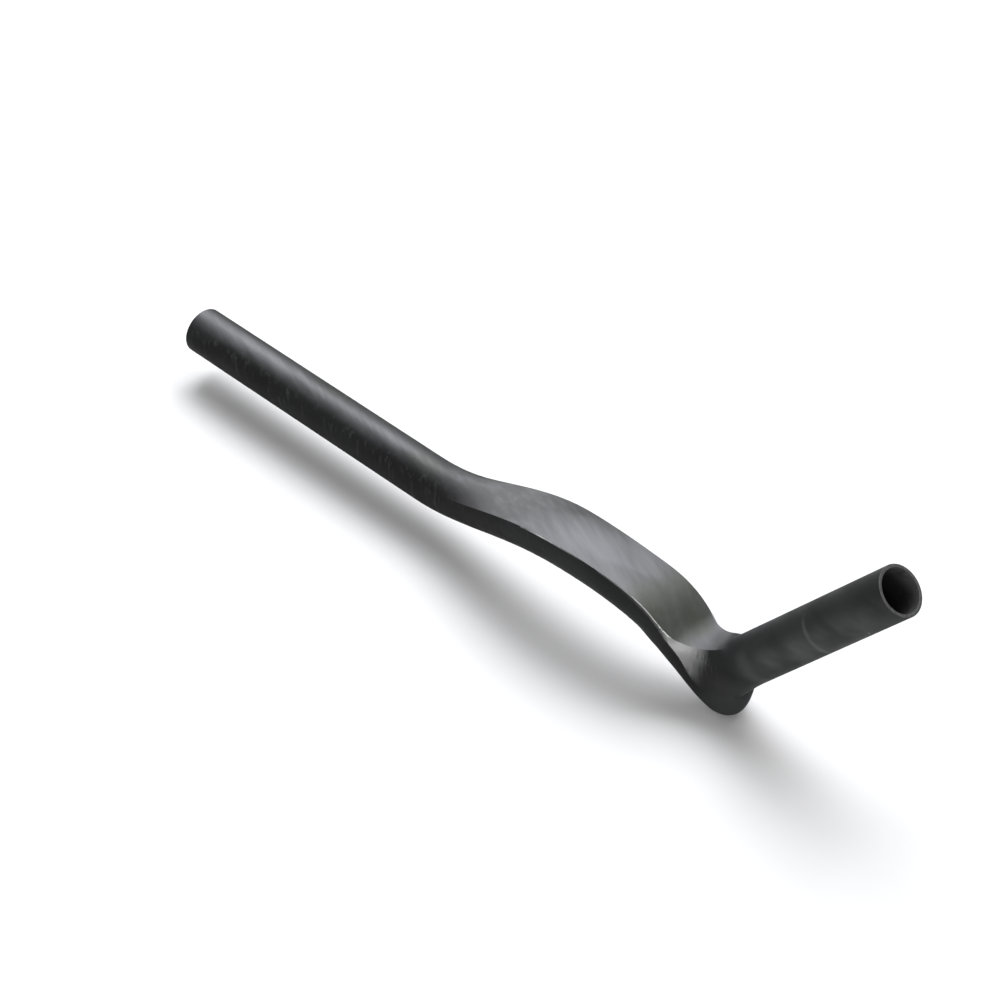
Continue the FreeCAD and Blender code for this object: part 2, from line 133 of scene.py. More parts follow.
class NodeTree:
    """Short ways to add and wire nodes in one material or node group."""

    def __init__(self, tree: bpy.types.NodeTree) -> None:
        """Keeps the tree that the nodes go in."""
        self.tree = tree

    def feed(self, socket: Socket, value: Input) -> None:
        """Feeds an input from another socket, or sets its own value.

        Args:
            socket: The input.
            value: The socket that feeds it, or a plain value.
        """
        if isinstance(value, Socket):
            self.tree.links.new(value, socket)
        else:
            socket.default_value = value

    def add(
        self, kind: str, inputs: dict[str | int, Input] | None = None, **settings: object
    ) -> bpy.types.Node:
        """Adds a node.

        Args:
            kind: Its type, such as ShaderNodeMath.
            inputs: Socket name or number to a value, or to the socket that feeds it.
            settings: Properties of the node.

        Returns:
            The new node.
        """
        node = self.tree.nodes.new(kind)
        for name, value in settings.items():
            setattr(node, name, value)
        for key, value in (inputs or {}).items():
            self.feed(node.inputs[key], value)
        return node

    def group(self, tree: bpy.types.NodeTree, inputs: dict[str, Input]) -> bpy.types.Node:
        """Adds a copy of a node group."""
        return self.add("ShaderNodeGroup", inputs, node_tree=tree)

    def math(self, operation: str, first: Input, second: Input = 0.0, clamp: bool = False) -> Socket:
        """Adds a Math node and returns its result."""
        inputs = {0: first, 1: second}
        return self.add("ShaderNodeMath", inputs, operation=operation, use_clamp=clamp).outputs[0]

    def times(self, first: Input, *others: Input) -> Socket:
        """Multiplies masks and numbers.

        Args:
            first: The first factor.
            others: The other factors.

        Returns:
            The product.
        """
        product = first
        for factor in others:
            product = self.math("MULTIPLY", product, factor)
        return product

    def weigh(self, first: Socket, second: Socket, shares: tuple[float, float]) -> Socket:
        """Adds up two masks, each times its share."""
        return self.math("ADD", self.times(first, shares[0]), self.times(second, shares[1]))

    def span(self, value: Input, low: Input, high: Input, first: Input = 0.0, last: Input = 1.0) -> Socket:
        """Eases a value from one range to another.

        Args:
            value: What is mapped.
            low: Value that gives the first result.
            high: Value that gives the last result.
            first: Result at the low end.
            last: Result at the high end.

        Returns:
            The mapped value.
        """
        inputs = {"Value": value, "From Min": low, "From Max": high, "To Min": first, "To Max": last}
        return self.add("ShaderNodeMapRange", inputs, interpolation_type="SMOOTHSTEP").outputs[0]

    def ramp(self, value: Input, ramp: Ramp) -> Socket:
        """Eases a value by a ramp."""
        return self.span(value, ramp.low, ramp.high, ramp.first, ramp.last)

    def blend(self, share: Input, first: Input, second: Input) -> Socket:
        """Blends from the first colour to the second."""
        return self.add("ShaderNodeMix", {0: share, 6: first, 7: second}, data_type="RGBA").outputs[2]

    def vector(self, operation: str, first: Input, second: Input) -> Socket:
        """Adds a Vector Math node and returns its vector."""
        return self.add("ShaderNodeVectorMath", {0: first, 1: second}, operation=operation).outputs[0]

    def scale(self, vector: Socket, factor: Input) -> Socket:
        """Multiplies a vector by a number."""
        inputs = {0: vector, "Scale": factor}
        return self.add("ShaderNodeVectorMath", inputs, operation="SCALE").outputs[0]

    def towards(self, vector: Socket, direction: Vector) -> Socket:
        """How far a vector reaches in one direction."""
        inputs = {0: vector, 1: tuple(direction)}
        return self.add("ShaderNodeVectorMath", inputs, operation="DOT_PRODUCT").outputs["Value"]

    def along(self, place: Socket, origin: Vector, direction: Vector) -> Socket:
        """Distance of a place from an origin, measured in one direction."""
        return self.towards(self.vector("SUBTRACT", place, tuple(origin)), direction)

    def parts(self, vector: Socket) -> bpy.types.NodeOutputs:
        """Splits a vector into X, Y and Z."""
        return self.add("ShaderNodeSeparateXYZ", {0: vector}).outputs

    def red(self, colour: Socket) -> Socket:
        """First channel of a random colour, as a random number."""
        return self.add("ShaderNodeSeparateColor", {0: colour}).outputs[0]


def new_group(
    name: str, inputs: dict[str, float | Triple], outputs: tuple[str, ...]
) -> tuple[NodeTree, bpy.types.NodeOutputs]:
    """Starts a shader node group.

    Args:
        name: Its name.
        inputs: Input names and their defaults; a tuple makes a vector, a number a float.
        outputs: Names of the outputs, which are all masks.

    Returns:
        The group's tree, and the sockets that bring its inputs.
    """
    tree = bpy.data.node_groups.new(name, "ShaderNodeTree")
    for label, default in inputs.items():
        kind = "NodeSocketVector" if isinstance(default, tuple) else "NodeSocketFloat"
        socket = tree.interface.new_socket(label, in_out="INPUT", socket_type=kind)
        socket.default_value = default
    for label in outputs:
        tree.interface.new_socket(label, in_out="OUTPUT", socket_type="NodeSocketFloat")
    nodes = NodeTree(tree)
    return nodes, nodes.add("NodeGroupInput").outputs


def new_material(name: str) -> tuple[bpy.types.Material, NodeTree, bpy.types.NodeInputs]:
    """Starts a material with a Principled shader.

    Args:
        name: Name of the material.

    Returns:
        The material, its tree and its shader's inputs.
    """
    material = bpy.data.materials.new(name)
    material.use_nodes = True
    shader = material.node_tree.nodes["Principled BSDF"]
    return material, NodeTree(material.node_tree), shader.inputs


class Effects:
    """The shader node groups that the finishes share."""

    def __init__(self) -> None:
        """Builds every group once."""
        self.streaks = self._streaks()
        self.patches = self._patches()
        self.flecks = self._flecks()
        self.ring = self._ring()

    @staticmethod
    def _streaks() -> bpy.types.NodeTree:
        """Fibre streaks: noise drawn out along one direction.

        Returns:
            The group.
        """
        inputs = {
            "Place": (0.0, 0.0, 0.0), "Turn": (0.0, 0.0, 0.0), "Stretch": (1.0, 1.0, 1.0),
            "Fineness": 100.0, "Low": 0.45, "High": 0.7,
        }
        nodes, given = new_group("fibre_streaks", inputs, ("Mask",))
        turn = {"Vector": given["Place"], "Rotation": given["Turn"]}
        turned = nodes.add("ShaderNodeVectorRotate", turn, rotation_type="EULER_XYZ").outputs[0]
        drawn = nodes.vector("MULTIPLY", turned, given["Stretch"])
        grain = {"Vector": drawn, "Scale": given["Fineness"], "Detail": 4.0, "Roughness": 0.6}
        noise = nodes.add("ShaderNodeTexNoise", grain).outputs[0]
        nodes.add("NodeGroupOutput", {"Mask": nodes.span(noise, given["Low"], given["High"])})
        return nodes.tree

    @staticmethod
    def _patches() -> bpy.types.NodeTree:
        """Plies laid side by side: cells with soft edges, each a little lighter or darker.

        Returns:
            The group, which gives each cell's tone, and the slow noise that shakes the cells.
        """
        inputs = {
            "Place": (0.0, 0.0, 0.0), "Stretch": (1.0, 1.0, 1.0), "Fineness": 30.0, "Waver": 0.3,
        }
        nodes, given = new_group("ply_patches", inputs, ("Tone", "Cloud"))
        drawn = nodes.vector("MULTIPLY", given["Place"], given["Stretch"])
        grain = {"Vector": drawn, "Scale": given["Fineness"], "Detail": 3.0, "Roughness": 0.55}
        cloud = nodes.add("ShaderNodeTexNoise", grain).outputs
        shake = nodes.scale(cloud[1], given["Waver"])
        place = nodes.vector("ADD", nodes.scale(drawn, given["Fineness"]), shake)
        layout = {"Vector": place, "Scale": 1.0, "Smoothness": 0.35}
        cells = nodes.add("ShaderNodeTexVoronoi", layout, feature="SMOOTH_F1").outputs
        nodes.add("NodeGroupOutput", {"Tone": nodes.red(cells["Color"]), "Cloud": cloud[0]})
        return nodes.tree

    @staticmethod
    def _flecks() -> bpy.types.NodeTree:
        """Tiny pale specks of dust and resin, few and far between.

        Returns:
            The group.
        """
        inputs = {"Place": (0.0, 0.0, 0.0), "Fineness": 400.0, "Size": 0.12, "Rarity": 0.93}
        nodes, given = new_group("flecks", inputs, ("Mask",))
        layout = {"Vector": given["Place"], "Scale": given["Fineness"]}
        cells = nodes.add("ShaderNodeTexVoronoi", layout).outputs
        chosen = nodes.math("GREATER_THAN", nodes.red(cells["Color"]), given["Rarity"])
        near = nodes.span(cells["Distance"], given["Size"], 0.0)
        nodes.add("NodeGroupOutput", {"Mask": nodes.times(chosen, near)})
        return nodes.tree

    @staticmethod
    def _ring() -> bpy.types.NodeTree:
        """A soft ring round a tube, at one distance along it.

        Returns:
            The group.
        """
        inputs = {"Distance": 0.0, "Centre": 0.05, "Width": 0.002}
        nodes, given = new_group("ring_mark", inputs, ("Mask",))
        off = nodes.math("ABSOLUTE", nodes.math("SUBTRACT", given["Distance"], given["Centre"]))
        nodes.add("NodeGroupOutput", {"Mask": nodes.span(off, given["Width"], 0.0)})
        return nodes.tree


@dataclass(frozen=True)
class Strokes:
    """Fibre strokes: their turn in radians, how many a metre holds, and their noise levels.

    A stroke starts where the noise is at the low level and is full at the high one.
    """

    turn: Triple
    fineness: float
    low: float
    high: float
    stretch: Triple = (0.12, 1.0, 1.0)

    def draw(self, nodes: NodeTree, effects: Effects, place: Socket) -> Socket:
        """Draws the strokes.

        Args:
            nodes: The material's tree.
            effects: The shared node groups.
            place: Object coordinates.

        Returns:
            Their mask.
        """
        inputs = {
            "Place": place, "Turn": self.turn, "Stretch": self.stretch,
            "Fineness": self.fineness, "Low": self.low, "High": self.high,
        }
        return nodes.group(effects.streaks, inputs).outputs["Mask"]


@dataclass(frozen=True)
class Patches:
    """Ply patches: how many a metre holds, how ragged they are, and how they are drawn out."""

    fineness: float
    waver: float
    stretch: Triple = (1.0, 1.0, 1.0)

    def lay(self, nodes: NodeTree, effects: Effects, place: Socket) -> tuple[Socket, Socket]:
        """Lays the patches.

        Args:
            nodes: The material's tree.
            effects: The shared node groups.
            place: Object coordinates.

        Returns:
            Their tone, and the slow noise that goes with them.
        """
        inputs = {
            "Place": place, "Stretch": self.stretch, "Fineness": self.fineness, "Waver": self.waver,
        }
        laid = nodes.group(effects.patches, inputs).outputs
        return laid["Tone"], laid["Cloud"]


@dataclass(frozen=True)
class Flecks:
    """Pale flecks: cells in a metre, size of a fleck in its cell, and share of empty cells."""

    fineness: float
    size: float
    rarity: float

    def strew(self, nodes: NodeTree, effects: Effects, place: Socket) -> Socket:
        """Strews the flecks.

        Args:
            nodes: The material's tree.
            effects: The shared node groups.
            place: Object coordinates.

        Returns:
            Their mask.
        """
        inputs = {
            "Place": place, "Fineness": self.fineness, "Size": self.size, "Rarity": self.rarity,
        }
        return nodes.group(effects.flecks, inputs).outputs["Mask"]


@dataclass(frozen=True)
class Seam:
    """End of an outer ply, as a ring round the grip: distance from its mouth, width, strength."""

    at: float
    width: float
    strength: float

    def draw(self, nodes: NodeTree, effects: Effects, back: Socket) -> Socket:
        """Draws the ring.

        Args:
            nodes: The material's tree.
            effects: The shared node groups.
            back: Distance from the grip's mouth.

        Returns:
            Its mask.
        """
        inputs = {"Distance": back, "Centre": self.at, "Width": self.width}
        return nodes.times(nodes.group(effects.ring, inputs).outputs["Mask"], self.strength)


@dataclass(frozen=True)
class Relief:
    """Fine unevenness of a finish: its depth, and how much of it shows."""

    depth: float
    strength: float = 0.4

    def press(self, nodes: NodeTree, height: Socket) -> Socket:
        """Turns a height into the normal that the shader takes."""
        inputs = {"Height": height, "Strength": self.strength, "Distance": self.depth}
        return nodes.add("ShaderNodeBump", inputs).outputs[0]


@dataclass(frozen=True)
class SkinReadings:
    """What the skin's masks and colours are worked out from, as sockets of its tree.

    The place and the normal are in the part's own frame, and back is the distance from the
    grip's mouth. Tone and cloud come from the ply patches, and the last three are strokes: fine
    and broad ones across the arm, and hoops round the tube.
    """

    nodes: NodeTree
    place: Socket
    normal: Socket
    back: Socket
    tone: Socket
    cloud: Socket
    fine: Socket
    broad: Socket
    hoop: Socket


@dataclass(frozen=True)
class CarbonSkin:
    """Satin clear coat over unidirectional carbon.

    The upper faces carry a painted sheen: a lighter base colour, with the plies in strokes, stands
    in for the lamps' reflection there, over a thicker coat and a metallic share. The knuckle's
    flanks, the grip's sides and the lands by the rims carry painted highlights. The sides keep the
    dull black of the mould. A ramp on back counts from the grip's mouth, one on ahead or height from
    the part's origin, one on up or aside the share of the normal that points that way, and one
    on cloud breaks up what it names.
    """

    side_dark: Colour = grey(0.009)
    side_light: Colour = grey(0.02, (0.96, 1.0, 1.02))
    # painted soft highlight on the grip's sideways faces, also used to lighten the nose
    side_stroke: Colour = grey(0.05, (0.97, 1.0, 0.98))
    grip_highlight: Colour = grey(0.062, (0.98, 1.0, 0.98))
    # painted sheen of the upper faces, lighter than the sides
    sheen_dark: Colour = grey(0.035, (0.97, 0.97, 1.05))
    sheen_light: Colour = grey(0.085, (0.97, 0.98, 1.05))
    sheen_stroke: Colour = grey(0.11, (0.97, 0.98, 1.05))
    olive: Colour = grey(0.036, (0.96, 1.05, 0.8))
    seam: Colour = grey(0.085, (0.98, 1.0, 0.97))
    fleck: Colour = grey(0.3)
    # painted highlight on the knuckle's flanks
    flank_highlight_colour: Colour = grey(0.17, (1.0, 1.0, 0.99))
    # painted highlight on the rim lands
    glint: Colour = grey(0.8)

    patches: Patches = Patches(fineness=42.0, waver=0.8, stretch=(0.5, 1.2, 1.2))
    fine_strokes: Strokes = Strokes(turn=(0.0, 0.0, 0.36), fineness=380.0, low=0.4, high=0.85)
    broad_strokes: Strokes = Strokes(turn=(0.0, 0.0, 0.42), fineness=80.0, low=0.3, high=0.72)
    hoop_strokes: Strokes = Strokes(turn=(0.0, -1.3, 0.1), fineness=420.0, low=0.5, high=0.78)
    flecks: Flecks = Flecks(fineness=300.0, size=0.15, rarity=0.982)
    seams: tuple[Seam, Seam] = (Seam(0.0875, 0.006, 0.75), Seam(0.0475, 0.0018, 1.0))

    lean: float = 0.1
    # ramps of the painted sheen on the upper faces
    sheen_up: Ramp = Ramp(0.5, 0.85)
    sheen_aside: Ramp = Ramp(0.72, 0.12)
    sheen_back: Ramp = Ramp(0.093, 0.102)
    # ramps of the painted highlight on the knuckle's flanks
    flank_highlight_towards: Triple = (0.58, 0.74, 0.34)
    flank_highlight_match: Ramp = Ramp(0.86, 0.99)
    flank_highlight_height: Ramp = Ramp(-0.018, -0.004)
    flank_highlight_ahead: Ramp = Ramp(0.327, 0.313)
    flank_highlight_share: float = 0.8

    # ramps of the painted soft highlight on the grip
    grip_highlight_back: Ramp = Ramp(0.098, 0.078)
    grip_highlight_mouth: Ramp = Ramp(0.0, 0.035, 0.35, 1.0)
    grip_highlight_cloud: Ramp = Ramp(0.35, 0.62, 0.3, 1.0)
    grip_highlight_aside: Ramp = Ramp(0.4, 0.95, 0.15, 1.0)
    grip_highlight_up: Ramp = Ramp(0.0, 0.5, 1.0, 0.2)
    nose_ahead: Ramp = Ramp(0.312, 0.328, 0.0, 0.25)
    nose_height: Ramp = Ramp(0.008, -0.004)
    hoop_cloud: Ramp = Ramp(0.4, 0.62, 0.1, 0.8)
    hoop_back: Ramp = Ramp(0.12, 0.16, 0.15, 1.0)

    top_shares: tuple[float, float] = (0.5, 0.5)
    top_tone: Ramp = Ramp(0.15, 0.85)
    stroke_cloud: Ramp = Ramp(0.36, 0.62, 0.03, 0.4)
    cloud_middle: float = 0.5
    olive_waver: float = 0.03
    olive_start: Ramp = Ramp(0.268, 0.288)
    olive_end: Ramp = Ramp(0.31, 0.298)
    olive_share: float = 0.75
    olive_cloud: Ramp = Ramp(0.56, 0.74, 0.0, 0.5)
    seam_waver: float = 0.004
    seam_up: Ramp = Ramp(0.65, 0.3)
    seam_cloud: Ramp = Ramp(0.42, 0.58, 0.4, 0.9)
    glint_fine: Ramp = Ramp(0.0, 0.8, 0.5, 1.0)

    roughness: Ramp = Ramp(0.0, 1.0, 0.41, 0.53)
    dullness: Ramp = Ramp(0.0, 0.6, 0.12, 0.0)
    coat_shares: tuple[float, float] = (0.4, 0.6)
    coat: Ramp = Ramp(0.0, 1.0, 0.3, 0.52)
    coat_upward: Ramp = Ramp(0.0, 1.0, 0.015, 1.0)
    coat_roughness: float = 0.34
    sheen: float = 0.4
    specular: float = 0.08
    relief_shares: tuple[float, float] = (0.6, 0.25)
    relief: Relief = Relief(0.00004)

    def build(self, effects: Effects) -> bpy.types.Material:
        """Makes the material.

        Args:
            effects: The shared node groups.

        Returns:
            The material.
        """
        material, nodes, shader = new_material("carbon_skin")
        read = self._read(nodes, effects)
        # The colour carries painted light: a sheen on the upper faces, and highlights on the flanks and rim
        # lands.
        flank_highlight = self._painted_flank_highlight(read)
        sheen_and_flank_highlight = nodes.math("MAXIMUM", flank_highlight, self._painted_sheen_mask(read))
        colour = nodes.blend(sheen_and_flank_highlight, self._side_colour(read), self._painted_sheen_colour(read))
        # painted highlight on the knuckle's flanks
        colour = nodes.blend(nodes.times(flank_highlight, self.flank_highlight_share), colour, self.flank_highlight_colour)
        colour = nodes.blend(self._seams(read, effects), colour, self.seam)
        colour = nodes.blend(self.flecks.strew(nodes, effects, read.place), colour, self.fleck)
        # painted highlight on the rim lands
        colour = nodes.blend(self._rim_glint(read), colour, self.glint)
        rough = nodes.math("ADD", nodes.ramp(read.broad, self.roughness), nodes.ramp(sheen_and_flank_highlight, self.dullness))
        coat = nodes.ramp(nodes.weigh(read.fine, read.broad, self.coat_shares), self.coat)
        height = nodes.weigh(read.broad, read.fine, self.relief_shares)
        nodes.feed(shader["Base Color"], colour)
        nodes.feed(shader["Metallic"], nodes.times(sheen_and_flank_highlight, self.sheen))
        nodes.feed(shader["Roughness"], rough)
        nodes.feed(shader["Coat Weight"], nodes.times(coat, nodes.ramp(sheen_and_flank_highlight, self.coat_upward)))
        nodes.feed(shader["Coat Roughness"], self.coat_roughness)
        nodes.feed(shader["Specular IOR Level"], self.specular)
        nodes.feed(shader["Normal"], self.relief.press(nodes, height))
        return material

    def _read(self, nodes: NodeTree, effects: Effects) -> SkinReadings:
        """Reads everything that the masks and colours need.

        Args:
            nodes: The material's tree.
            effects: The shared node groups.

        Returns:
            The readings.
        """
        coordinates = nodes.add("ShaderNodeTexCoord").outputs
        place = coordinates["Object"]
        tone, cloud = self.patches.lay(nodes, effects, place)
        return SkinReadings(
            nodes=nodes,
            place=place,
            normal=coordinates["Normal"],
            back=nodes.along(place, GRIP_TUBE.mouth, -GRIP_TUBE.outward),
            tone=tone,
            cloud=cloud,
            fine=self.fine_strokes.draw(nodes, effects, place),
            broad=self.broad_strokes.draw(nodes, effects, place),
            hoop=self.hoop_strokes.draw(nodes, effects, place),
        )

    def _painted_sheen_mask(self, read: SkinReadings) -> Socket:
        """Where the skin gets a painted sheen: the faces that look up, as far as the grip's root.

        Args:
            read: The readings.

        Returns:
            The mask.
        """
        nodes = read.nodes
        parts = nodes.parts(read.normal)
        aside = nodes.math("ABSOLUTE", nodes.math("ADD", parts[1], self.lean))
        return nodes.times(
            nodes.ramp(parts[2], self.sheen_up),
            nodes.ramp(aside, self.sheen_aside),
            nodes.ramp(read.back, self.sheen_back),
        )

    def _painted_flank_highlight(self, read: SkinReadings) -> Socket:
        """Where the knuckle's two flanks get a painted highlight, picked by the way they face and fading
        towards its front and heel.

        Args:
            read: The readings.

        Returns:
            The mask.
        """
        nodes = read.nodes
        parts = nodes.parts(read.normal)
        folded = {0: parts[0], 1: nodes.math("ABSOLUTE", parts[1]), 2: parts[2]}
        normal = nodes.add("ShaderNodeCombineXYZ", folded).outputs[0]
        match = nodes.towards(normal, Vector(self.flank_highlight_towards).normalized())
        where = nodes.parts(read.place)
        return nodes.times(
            nodes.ramp(match, self.flank_highlight_match),
            nodes.ramp(where[2], self.flank_highlight_height),
            nodes.ramp(where[0], self.flank_highlight_ahead),
        )

    def _rim_glint(self, read: SkinReadings) -> Socket:
        """Painted highlight on the narrow lands beside the rims, broken up by the fine strokes.

        Args:
            read: The readings.

        Returns:
            The mask.
        """
        mark = read.nodes.add("ShaderNodeAttribute", attribute_name=RIM_GLINT).outputs["Fac"]
        return read.nodes.times(mark, read.nodes.ramp(read.fine, self.glint_fine))

    def _side_colour(self, read: SkinReadings) -> Socket:
        """Black of the sides, with hoops round the tube, a painted soft highlight on the grip's sideways
        faces, and a lighter nose.

        Args:
            read: The readings.

        Returns:
            The colour.
        """
        nodes = read.nodes
        aside = nodes.math("ABSOLUTE", nodes.towards(read.normal, SIDEWAYS))
        grip_highlight_mask = nodes.times(
            nodes.ramp(read.back, self.grip_highlight_back),
            nodes.ramp(read.cloud, self.grip_highlight_cloud),
            nodes.ramp(read.back, self.grip_highlight_mouth),
            nodes.ramp(aside, self.grip_highlight_aside),
            nodes.ramp(nodes.towards(read.normal, UPWARDS), self.grip_highlight_up),
        )
        where = nodes.parts(read.place)
        nose = nodes.times(nodes.ramp(where[0], self.nose_ahead), nodes.ramp(where[2], self.nose_height))
        hoops = nodes.times(
            read.hoop,
            nodes.ramp(read.cloud, self.hoop_cloud),
            nodes.ramp(read.back, self.hoop_back),
        )
        colour = nodes.blend(read.tone, self.side_dark, self.side_light)
        # painted soft highlight on the grip, and the lighter nose
        colour = nodes.blend(nodes.math("MAXIMUM", grip_highlight_mask, nose), colour, self.grip_highlight)
        return nodes.blend(hoops, colour, self.side_stroke)

    def _painted_sheen_colour(self, read: SkinReadings) -> Socket:
        """Painted sheen of the upper faces, lighter than the sides, greener where the arm falls to the
        valley.

        Args:
            read: The readings.

        Returns:
            The colour.
        """
        nodes = read.nodes
        tone = nodes.ramp(nodes.weigh(read.tone, read.broad, self.top_shares), self.top_tone)
        strokes = nodes.times(read.fine, nodes.ramp(read.cloud, self.stroke_cloud))
        shift = nodes.times(nodes.math("SUBTRACT", read.cloud, self.cloud_middle), self.olive_waver)
        ahead = nodes.math("ADD", nodes.parts(read.place)[0], shift)
        falling = nodes.times(
            nodes.ramp(ahead, self.olive_start), nodes.ramp(ahead, self.olive_end), self.olive_share
        )
        patchy = nodes.ramp(read.cloud, self.olive_cloud)
        colour = nodes.blend(tone, self.sheen_dark, self.sheen_light)
        colour = nodes.blend(strokes, colour, self.sheen_stroke)
        return nodes.blend(nodes.math("MAXIMUM", falling, patchy), colour, self.olive)

    def _seams(self, read: SkinReadings, effects: Effects) -> Socket:
        """Ends of the outer plies, as pale broken rings that fade out over the grip's back.

        Args:
            read: The readings.
            effects: The shared node groups.

        Returns:
            The rings' mask.
        """
        nodes = read.nodes
        back = nodes.math("ADD", read.back, nodes.times(read.cloud, self.seam_waver))
        rings = [seam.draw(nodes, effects, back) for seam in self.seams]
        return nodes.times(
            nodes.math("MAXIMUM", *rings),
            nodes.ramp(nodes.towards(read.normal, UPWARDS), self.seam_up),
            nodes.ramp(read.cloud, self.seam_cloud),
        )


@dataclass(frozen=True)
class BoreWall:
    """Inside of the moulding: matt black resin with the print of the bladder."""

    dark: Colour = grey(0.02)
    light: Colour = grey(0.05)
    patches: Patches = Patches(fineness=150.0, waver=1.2)
    roughness: Ramp = Ramp(0.3, 0.7, 0.67, 0.83)
    specular: float = 0.25
    relief: Relief = Relief(0.0001, 0.5)

    def build(self, effects: Effects) -> bpy.types.Material:
        """Makes the material.

        Args:
            effects: The shared node groups.

        Returns:
            The material.
        """
        material, nodes, shader = new_material("bore_wall")
        place = nodes.add("ShaderNodeTexCoord").outputs["Object"]
        tone, cloud = self.patches.lay(nodes, effects, place)
        nodes.feed(shader["Base Color"], nodes.blend(tone, self.dark, self.light))
        nodes.feed(shader["Roughness"], nodes.ramp(cloud, self.roughness))
        nodes.feed(shader["Specular IOR Level"], self.specular)
        nodes.feed(shader["Normal"], self.relief.press(nodes, cloud))
        return material


@dataclass(frozen=True)
class SawnEdge:
    """Cut and sanded wall at the tubes' ends: dull grey, with the saw's fine marks."""

    dark: Colour = grey(0.015)
    light: Colour = grey(0.055)
    marks: Strokes = Strokes((0.3, 0.2, 0.9), fineness=900.0, low=0.35, high=0.7, stretch=(1.0, 1.0, 1.0))
    roughness: Ramp = Ramp(0.0, 1.0, 0.5, 0.7)
    relief: Relief = Relief(0.00005)

    def build(self, effects: Effects) -> bpy.types.Material:
        """Makes the material.

        Args:
            effects: The shared node groups.

        Returns:
            The material.
        """
        material, nodes, shader = new_material("sawn_edge")
        place = nodes.add("ShaderNodeTexCoord").outputs["Object"]
        marks = self.marks.draw(nodes, effects, place)
        nodes.feed(shader["Base Color"], nodes.blend(marks, self.dark, self.light))
        nodes.feed(shader["Roughness"], nodes.ramp(marks, self.roughness))
        nodes.feed(shader["Normal"], self.relief.press(nodes, marks))
        return material


@dataclass(frozen=True)
class GlintStretch:
    """A stretch of the rims that gets a painted highlight, as distances ahead of the part's origin.

    The painted highlight grows from the start to full, holds until it is fading, and stops at the end.
    """

    start: float
    full: float
    fading: float
    end: float
    most: float

    def share(self, ahead: float) -> float:
        """How strong the rims' painted highlight is at one distance ahead.

        Args:
            ahead: The distance.

        Returns:
            The wear, from 0 to the most that the stretch has.
        """
        growing = (ahead - self.start) / (self.full - self.start)
        shrinking = (self.end - ahead) / (self.end - self.fading)
        return self.most * max(0.0, min(1.0, growing, shrinking))


